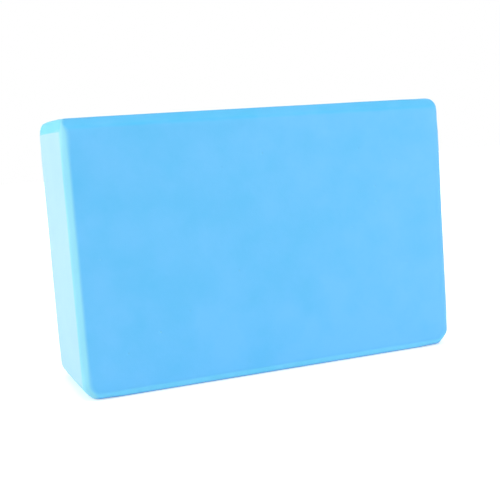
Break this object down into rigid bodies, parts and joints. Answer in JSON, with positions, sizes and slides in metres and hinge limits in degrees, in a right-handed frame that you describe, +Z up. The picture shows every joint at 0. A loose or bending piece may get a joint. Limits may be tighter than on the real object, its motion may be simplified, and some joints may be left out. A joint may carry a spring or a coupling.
{
  "type": "yoga block",
  "caption": "Firm rectangular foam block with bevelled edges, used as a low support for the hand or body in yoga and stretching.",
  "frame": {"origin": "middle of the long narrow face that the block stands on", "axes": "+X along the length, +Y from the front face to the back face, +Z up"},
  "size_m": [0.2286, 0.0762, 0.1524],
  "materials": {
    "foam": "matte closed-cell foam"
  },
  "bodies": {
    "root": {"block": "foam"}
  },
  "joints": []
}
